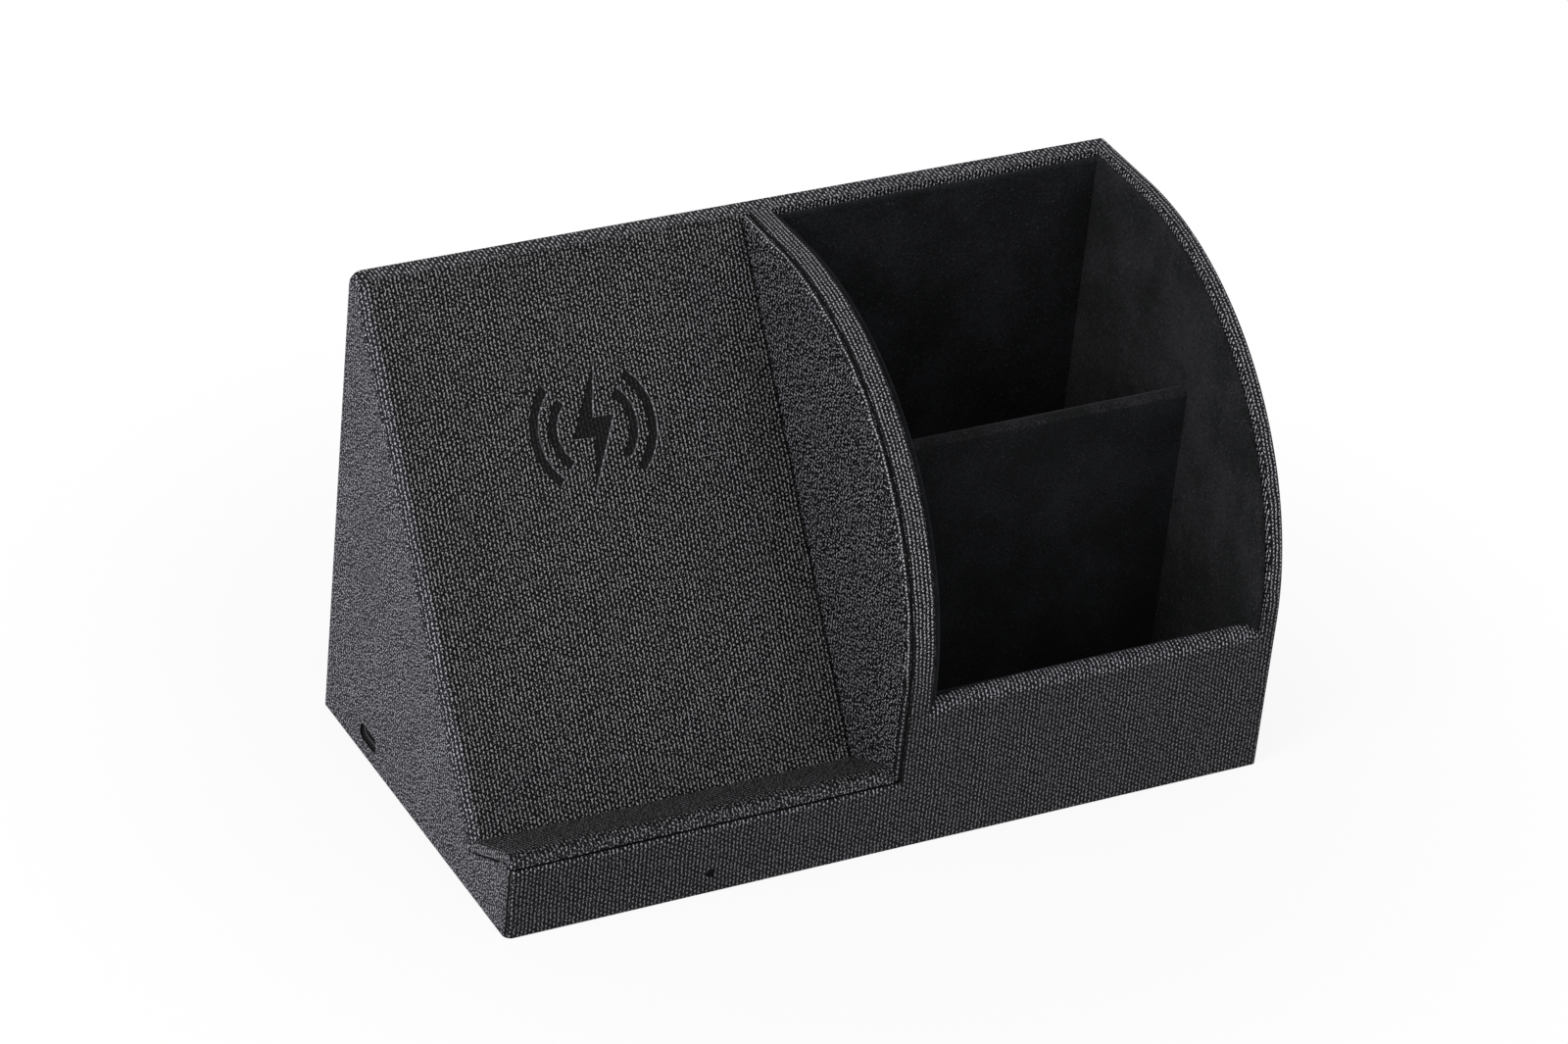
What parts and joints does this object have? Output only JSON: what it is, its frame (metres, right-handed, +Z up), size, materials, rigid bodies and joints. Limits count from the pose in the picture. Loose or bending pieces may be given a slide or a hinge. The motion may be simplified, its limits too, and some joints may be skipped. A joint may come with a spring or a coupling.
{
  "type": "wireless charging pen holder",
  "caption": "Desk pen holder wrapped in dark leatherette: a charging slope with a ledge for a phone beside a velvet-lined open well with a curved side and a cross divider.",
  "frame": {"origin": "centre of the base, on the table", "axes": "+X to the right towards the pen well, +Y to the back, +Z up; the front faces -Y"},
  "size_m": [0.2, 0.101, 0.119],
  "materials": {
    "leatherette": "satin, fine linen grain",
    "velvet": "matt pile",
    "felt": "matt",
    "board": "raw fibreboard",
    "card": "matt grey card",
    "module_plastic": "satin",
    "coil_wire": "enamelled copper wire",
    "ferrite": "matt",
    "foam": "matt foam",
    "circuit_board": "green solder mask",
    "dark_plastic": "matt",
    "screw_steel": "plated",
    "socket_steel": "plated",
    "light_plastic": "clear",
    "red_lead": "satin",
    "white_lead": "satin"
  },
  "bodies": {
    "root": {"base_felt": "felt", "base_board": "board", "front_board": "board", "back_board": "board", "end_board": "board", "side_board": "board", "divider_board": "board", "slope_board": "board", "slope_batten": "board", "ledge_board": "card", "cross_board": "board", "front_cover": "leatherette", "back_cover": "leatherette", "end_cover": "leatherette", "side_cover": "leatherette", "divider_cover": "leatherette", "slope_cover": "leatherette", "ledge_cover": "leatherette", "panel_card": "card", "panel_cover": "leatherette", "front_liner_card": "card", "front_liner_velvet": "velvet", "back_liner_card": "card", "back_liner_velvet": "velvet", "left_liner_card": "card", "left_liner_velvet": "velvet", "right_liner_card": "card", "right_liner_velvet": "velvet", "floor_card": "card", "floor_velvet": "velvet", "cross_velvet": "velvet", "module_case": "module_plastic", "charging_coil": "coil_wire", "ferrite_sheet": "ferrite", "foam_pad": "foam", "charger_board": "circuit_board", "charger_parts": "dark_plastic", "module_lid": "module_plastic", "module_screws": "screw_steel", "inlet_board": "circuit_board", "usb_socket": "socket_steel", "socket_tongue": "dark_plastic", "inlet_screws": "screw_steel", "indicator_board": "circuit_board", "indicator_light": "light_plastic", "light_pipe": "light_plastic", "power_leads": "red_lead", "indicator_leads": "white_lead"}
  },
  "joints": []
}
